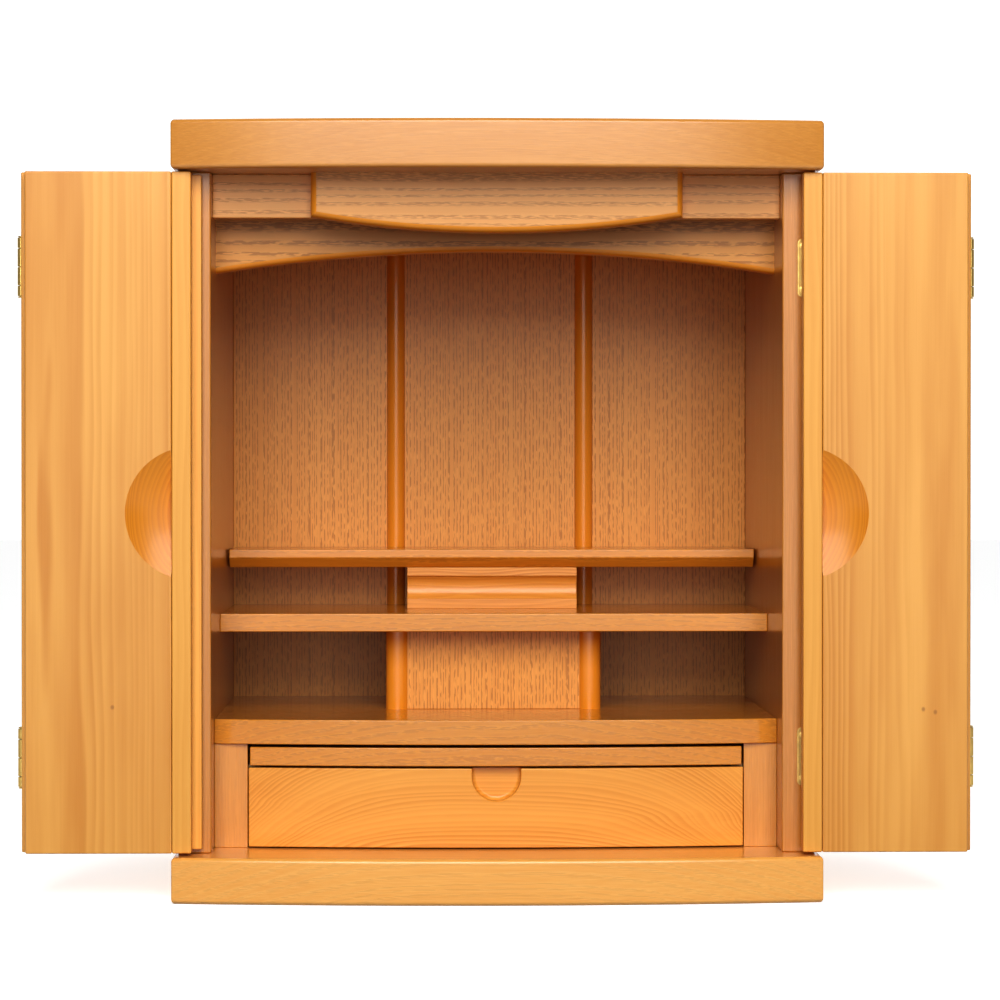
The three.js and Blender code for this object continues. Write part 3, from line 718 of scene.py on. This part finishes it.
def add_pedestal():
    node = "pedestal"
    (x0, y0, z0), (x1, y1, z1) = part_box(node)
    cove_top = z1 - PEDESTAL_TOP_SLAB
    cove_bottom = z0 + PEDESTAL_BOTTOM_SLAB
    steps = 20
    cove = []
    for i in range(steps + 1):
        share = i / steps
        bulge = 4 * share * (1 - share)
        cove.append((y0 + PEDESTAL_COVE_STEP + (PEDESTAL_COVE_DEPTH - PEDESTAL_COVE_STEP) * bulge,
                     cove_top + (cove_bottom - cove_top) * share))
    outline = [(y1, z0), (y1, z1), (y0, z1), (y0, cove_top)] + cove + [(y0, cove_bottom), (y0, z0)]
    bm = prism(outline, x0, x1, "X")
    add_piece(node, ease(bm, PEDESTAL_ROUNDING, 3, steep=50), pedestal_wood(node))


def add_posts():
    for name, side in SIDES:
        node = f"{name}_upper_post"
        (x0, y0, z0), (x1, y1, z1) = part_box(node)
        radius = (x1 - x0) / 2
        outline = [(x + (x0 + x1) / 2, y + y1) for x, y in arc(radius, math.pi, 2 * math.pi, 32)]
        add_piece(node, prism(outline, z0, z1), post_wood(node))

        node = f"{name}_lower_post"
        (x0, y0, z0), (x1, y1, z1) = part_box(node)
        radius = (y1 - y0) / 2
        centre_x = x1 - radius if side > 0 else x0 + radius
        centre_y = (y0 + y1) / 2
        reach = (high("lower_centre_panel").y - low("lower_centre_panel").y) / 2 + PANEL_GROOVE_GAP
        groove_x = centre_x + side * (PANEL_TONGUE + PANEL_GROOVE_GAP - radius)
        outer_x = centre_x - side * 2 * radius
        groove = [(groove_x, centre_y - reach), (outer_x, centre_y - reach),
                  (outer_x, centre_y + reach), (groove_x, centre_y + reach)]
        post = rod(radius, z0, z1, (centre_x, centre_y, 0), 64)
        bm = cut(post, [prism(groove, z0 - MM, z1 + MM)])
        add_piece(node, bm, post_wood(node))


def add_carcass():
    for node in ("plinth", "top_board"):
        add_slab(node)
    for name, _ in SIDES:
        node = f"{name}_side_panel"
        add_box(node, side_wood(node), SIDE_PANEL_ROUNDING)
        node = f"{name}_drawer_cheek"
        add_box(node, board_wood(node, "Z"))
        node = f"{name}_tray_runner"
        add_box(node, plain_wood(node, "Y"))
    add_box("back_panel", panel_wood("back_panel"))
    add_box("lower_centre_panel", panel_wood("lower_centre_panel"))
    add_box("upper_lintel", lintel_wood("upper_lintel"), EDGE_ROUNDING)
    add_box("middle_shelf", edge_wood("middle_shelf"), EDGE_ROUNDING, 4)
    add_centre_lintel()
    add_arched_lintel()
    add_bowed_board("bottom_shelf")
    add_upper_shelf()
    add_pedestal()
    add_posts()


# Drawer and tray

def add_drawer():
    node = "drawer_front"
    (_, y0, _), (_, _, z1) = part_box(node)
    bm = bowed_body(node)
    radius = NOTCH_WIDTH / 2
    centre_z = z1 - NOTCH_HEIGHT + radius
    top = z1 + 2 * NOTCH_ROUNDING
    steps = 8
    rings = []
    levels = [(y0 - NOTCH_LEAD, NOTCH_RIM + NOTCH_LEAD), (y0, NOTCH_RIM), (y0 + NOTCH_RIM, 0),
              (y0 + NOTCH_DEPTH - NOTCH_ROUNDING, 0)]
    for i in range(1, steps + 1):
        angle = math.pi / 2 * i / steps
        levels.append((y0 + NOTCH_DEPTH - NOTCH_ROUNDING * (1 - math.sin(angle)),
                       -NOTCH_ROUNDING * (1 - math.cos(angle))))
    for y, grow in levels:
        lower = [(x, y, z + centre_z) for x, z in arc(radius + grow, math.pi, 2 * math.pi, 48)]
        rings.append(lower + [(radius + grow, y, top), (-radius - grow, y, top)])
    add_piece(node, cut(bm, [lofted(rings)]), drawer_wood(node), sharp=30)
    for part, axis in (("left_side", "Y"), ("right_side", "Y"), ("back", "X"), ("bottom", "X")):
        node = f"drawer_{part}"
        add_box(node, plain_wood(node, axis))


# Doors, in plan around their pins

def pin_place(name, kind):
    """X and Y of a door's frame pins or fold pins."""
    middle = node_centre(f"{name}_lower_{kind}_pin")
    return middle.x, middle.y


def knuckle_rooms(name, kind):
    """What is cut from the leaves around the hinges, which all lie at the frame pins' two heights."""
    x, y = pin_place(name, kind)
    rooms = []
    for level in LEVELS:
        pin = f"{name}_{level}_frame_pin"
        rooms.append(rod(KNUCKLE_ROOM, low(pin).z - KNUCKLE_GAP, high(pin).z + KNUCKLE_GAP, (x, y, 0)))
    return rooms


def add_outer_leaf(name):
    node = f"{name}_outer_leaf"
    bm = prism(box_outline(node), low(node).z, high(node).z)
    ease(bm, LEAF_ARRIS, 4)
    bm = cut(bm, knuckle_rooms(name, "frame") + knuckle_rooms(name, "fold"))
    add_piece(node, bm, door_wood(node, (0.03, 0.12)))


def scoop_cutter(centre):
    sphere = bow_radius(SCOOP_RADIUS, SCOOP_DEPTH)
    rings = 32
    profile = [(0, SCOOP_DEPTH)]
    for i in range(1, rings + 1):
        r = SCOOP_RADIUS * i / rings
        profile.append((r, SCOOP_DEPTH - sphere + math.sqrt(sphere ** 2 - r ** 2)))
    outside = SCOOP_RADIUS + SCOOP_RIM
    profile += [(outside, -SCOOP_RIM * 0.5), (outside, -SCOOP_DEPTH), (0, -SCOOP_DEPTH)]
    return lathe(profile, centre, "Y", 160)


def add_inner_leaf(name, side):
    node = f"{name}_inner_leaf"
    (x0, y0, z0), (x1, y1, z1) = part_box(node)
    far, near = (x1, x0) if side > 0 else (x0, x1)
    rebate_x = far - side * FOLD_REBATE_WIDTH
    outline = [(near, y1), (near, y0), (rebate_x, y0), (rebate_x, y0 + FOLD_REBATE_DEPTH),
               (far, y0 + FOLD_REBATE_DEPTH), (far, y1)]
    bm = ease(prism(outline, z0, z1), LEAF_ARRIS, 4)
    scoop_x = side * MEETING_LINE
    scoop = scoop_cutter((scoop_x, y0, SCOOP_Z))
    rooms = knuckle_rooms(name, "fold") + knuckle_rooms(name, "frame")
    pith = (-0.035, 0.085) if side < 0 else (0.03, 0.1)
    bm = cut(bm, [scoop] + rooms)
    piece = add_piece(node, bm, door_wood(node, pith, DOOR_KNOTS[name]), sharp=18)
    piece.data.materials.append(scoop_wood(node, (scoop_x - node_centre(node).x, 0.09)))
    for polygon in piece.data.polygons:
        middle = polygon.center
        deep = y0 + SCOOP_FACE_TOLERANCE < middle.y < y0 + SCOOP_DEPTH + FINE_ARRIS
        if deep and math.hypot(middle.x - scoop_x, middle.z - SCOOP_Z) < SCOOP_RADIUS:
            polygon.material_index = 1


def add_meeting_strip(name, side):
    node = f"{name}_meeting_strip"
    (x0, y0, z0), (x1, y1, z1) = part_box(node)
    near, far = (x1, x0) if side > 0 else (x0, x1)
    step_x = far + side * MEETING_STRIP_STEP
    rebate_y = y1 - TONGUE_THICKNESS - TONGUE_REBATE_GAP
    outline = [(near, y1), (step_x, y1), (step_x, rebate_y), (far, rebate_y),
               (far, y0), (near, y0)]
    bm = ease(prism(outline, z0, z1), LEAF_ARRIS, 4)
    bm = cut(bm, knuckle_rooms(name, "frame"))
    add_piece(node, bm, strip_wood(node))


def add_doors():
    for name, side in SIDES:
        add_outer_leaf(name)
        add_inner_leaf(name, side)
        add_meeting_strip(name, side)
    add_box("left_tongue", strip_wood("left_tongue"), EDGE_ROUNDING, 4)


# Hinges

def knuckle_spans(z):
    """The lowest and highest point of each knuckle of a hinge, from the bottom up."""
    free = HINGE_LENGTH - 3 * KNUCKLE_GAP
    spans = []
    start = z - HINGE_LENGTH / 2
    for share in KNUCKLE_SHARES:
        spans.append((start, start + free * share))
        start += free * share + KNUCKLE_GAP
    return spans


def knuckle(x, y, span):
    z0, z1 = span
    end_radius = KNUCKLE_RADIUS - KNUCKLE_ROUNDING
    profile = [(0, z0), (end_radius, z0), (KNUCKLE_RADIUS, z0 + KNUCKLE_ROUNDING),
               (KNUCKLE_RADIUS, z1 - KNUCKLE_ROUNDING), (end_radius, z1), (0, z1)]
    return lathe(profile, (x, y, 0), segments=32)


def bore(x, y, z):
    return rod(KNUCKLE_BORE, z - HINGE_LENGTH, z + HINGE_LENGTH, (x, y, 0), 32)


def plate_outline(x, z, reach):
    """Drawn from the pin outwards, as (X, Z), with its two far corners rounded."""
    half = HINGE_LENGTH / 2
    inner = PLATE_REACH - PLATE_CORNER
    lower = arc(PLATE_CORNER, -math.pi / 2, 0, 8)
    upper = arc(PLATE_CORNER, 0, math.pi / 2, 8)
    points = [(PLATE_NEAR_EDGE, -half)]
    points += [(inner + a, PLATE_CORNER - half + b) for a, b in lower]
    points += [(inner + a, half - PLATE_CORNER + b) for a, b in upper]
    points.append((PLATE_NEAR_EDGE, half))
    return [(x + reach * a, z + b) for a, b in points]


def add_plate(node, pin, reach, face, odd, metal):
    """face is 1 where the plate's back lies behind the pin, and -1 where it lies in front."""
    x, y, z = node_centre(pin)
    back = y + face * FACE_TO_PIN
    front = back - face * PLATE_THICKNESS
    bm = prism(plate_outline(x, z, reach), back, front, "Y")
    shown = [f for f in bm.faces if abs(f.calc_center_median().y - front) < PLATE_TOLERANCE]
    bmesh.ops.inset_region(bm, faces=shown, thickness=PLATE_RIM, depth=0)
    bmesh.ops.inset_region(bm, faces=shown, thickness=PLATE_RECESS, depth=-PLATE_RECESS)

    def inside_rim(middle):
        across = abs(middle.x - x)
        height = abs(middle.z - z)
        if across < PLATE_NEAR_EDGE + PLATE_RIM / 2:
            return True
        return across < PLATE_REACH - PLATE_RIM * 0.7 and height < HINGE_LENGTH / 2 - PLATE_RIM * 0.7

    def at_front_rim(middle):
        return abs(middle.y - front) < PLATE_TOLERANCE and not inside_rim(middle)
    ease(bm, PLATE_RIM_ROUNDING, 3, at_front_rim)

    spans = knuckle_spans(z)
    own = [span for i, span in enumerate(spans) if (i % 2 == 1) == odd]
    others = [span for i, span in enumerate(spans) if (i % 2 == 1) != odd]
    room = KNUCKLE_RADIUS + KNUCKLE_CLEARANCE
    clear = []
    for z0, z1 in others:
        outline = [(x - room, y - room), (x + room, y - room), (x + room, y + room), (x - room, y + room)]
        clear.append(prism(outline, z0 - KNUCKLE_GAP, z1 + KNUCKLE_GAP))
    bm = cut(bm, clear)
    bm = cut(bm, [knuckle(x, y, span) for span in own], "UNION")
    bm = cut(bm, [bore(x, y, z)])
    add_piece(node, bm, metal, "metal", sharp=30)
    add_screws(node, (x, front + face * PLATE_RECESS, z), reach, face, metal)


def add_screws(node, place, reach, face, metal):
    """Domed heads just proud of the plate's recess, each with a cross slot."""
    x, y, z = place
    steps = 6
    slots = ((SLOT_REACH, SLOT_HALF_WIDTH), (SLOT_HALF_WIDTH, SLOT_REACH))
    heads = bmesh.new()
    for across, height in SCREW_PLACES:
        centre = (x + reach * across, y, z + height)
        profile = [(0, -face * SCREW_DOME)]
        for i in range(1, steps + 1):
            share = i / steps
            dome = SCREW_DOME * (1 - share ** 2) + SCREW_STEP
            profile.append((SCREW_RADIUS * share, -face * dome))
        profile += [(SCREW_RADIUS, face * SCREW_SUNK), (0, face * SCREW_SUNK)]
        cutters = []
        for wide, tall in slots:
            outline = [(centre[0] + a * wide, centre[2] + b * tall)
                       for a, b in ((-1, -1), (1, -1), (1, 1), (-1, 1))]
            cutters.append(prism(outline, y - face * MM, y - face * SLOT_FLOOR, "Y"))
        head = cut(lathe(profile, centre, "Y", 32), cutters)
        mesh = bpy.data.meshes.new("head")
        head.to_mesh(mesh)
        head.free()
        heads.from_mesh(mesh)
        bpy.data.meshes.remove(mesh)
    riding_piece(node, "screws", heads, metal, 35)


def add_pin(node, metal):
    x, y, _ = node_centre(node)
    z0, z1 = low(node).z, high(node).z
    end_radius = PIN_HEAD_RADIUS - PIN_HEAD_CHAMFER
    profile = [(0, z0), (end_radius, z0), (PIN_HEAD_RADIUS, z0 + PIN_HEAD_CHAMFER),
               (PIN_HEAD_RADIUS, z0 + PIN_HEAD_HEIGHT), (PIN_RADIUS, z0 + PIN_HEAD_HEIGHT),
               (PIN_RADIUS, z1 - PIN_HEAD_HEIGHT), (PIN_HEAD_RADIUS, z1 - PIN_HEAD_HEIGHT),
               (PIN_HEAD_RADIUS, z1 - PIN_HEAD_CHAMFER), (end_radius, z1), (0, z1)]
    add_piece(node, lathe(profile, (x, y, 0), segments=32), metal, "metal", sharp=30)


def add_hinges():
    metal = brass()
    for name, side in SIDES:
        for level in LEVELS:
            start = f"{name}_{level}_"
            frame_pin = start + "frame_pin"
            fold_pin = start + "fold_pin"
            add_plate(start + "frame_plate", frame_pin, -side, 1, False, metal)
            add_plate(start + "door_plate", frame_pin, side, 1, True, metal)
            add_plate(start + "fold_outer_plate", fold_pin, -side, 1, False, metal)
            add_plate(start + "fold_inner_plate", fold_pin, -side, -1, True, metal)
            add_pin(frame_pin, metal)
            add_pin(fold_pin, metal)


# Stage, lights and camera

def add_floor():
    """A pale floor that glows a little and lends the object no light."""
    bm = bmesh.new()
    bmesh.ops.create_grid(bm, x_segments=1, y_segments=1, size=FLOOR_REACH)
    floor = loose_object(bm, "floor")
    s = Shader("pale_floor")
    s.surface.inputs["Base Color"].default_value = tone(250, 250, 250)
    s.surface.inputs["Roughness"].default_value = 0.9
    s.surface.inputs["Emission Color"].default_value = (1, 1, 1, 1)
    s.surface.inputs["Emission Strength"].default_value = FLOOR_GLOW
    floor.data.materials.append(s.material)
    floor.visible_diffuse = False


def add_light(name, place, target, size, power):
    data = bpy.data.lights.new(name, "AREA")
    data.shape = "RECTANGLE"
    data.size, data.size_y = size
    data.energy = power
    light = bpy.data.objects.new(name, data)
    light.location = place
    light.rotation_euler = (Vector(target) - Vector(place)).to_track_quat("-Z", "Y").to_euler()
    scene.collection.objects.link(light)


def add_world():
    """A white studio wall behind the cabinet, and a dimmer room in front of it."""
    world = bpy.data.worlds.new("studio")
    world.use_nodes = True
    tree = world.node_tree
    background = tree.nodes["Background"]
    background.inputs["Color"].default_value = (1, 1, 1, 1)
    direction = tree.nodes.new("ShaderNodeTexCoord")
    parts = tree.nodes.new("ShaderNodeSeparateXYZ")
    share = tree.nodes.new("ShaderNodeMapRange")
    share.interpolation_type = "SMOOTHSTEP"
    share.inputs["From Min"].default_value = ROOM_END
    share.inputs["From Max"].default_value = WALL_START
    share.inputs["To Min"].default_value = ROOM_LIGHT
    share.inputs["To Max"].default_value = WALL_LIGHT
    tree.links.new(direction.outputs["Generated"], parts.inputs[0])
    tree.links.new(parts.outputs["Y"], share.inputs["Value"])
    tree.links.new(share.outputs[0], background.inputs["Strength"])
    scene.world = world


def add_camera():
    data = bpy.data.cameras.new("camera")
    data.sensor_width = SENSOR_WIDTH
    data.lens = FOCAL_PIXELS * SENSOR_WIDTH / IMAGE_PIXELS
    data.clip_end = CAMERA_CLIP
    camera = bpy.data.objects.new("camera", data)
    camera.location = CAMERA_PLACE
    camera.rotation_euler = Vector(CAMERA_DIRECTION).to_track_quat("-Z", "Y").to_euler()
    scene.collection.objects.link(camera)
    scene.camera = camera


add_camera()
add_carcass()
add_drawer()
add_bowed_board("tray")
add_doors()
add_hinges()
add_floor()
for softbox in SOFTBOXES:
    add_light(*softbox)
add_world()
scene.view_settings.view_transform = "Standard"
scene.view_settings.gamma = PICTURE_GAMMA
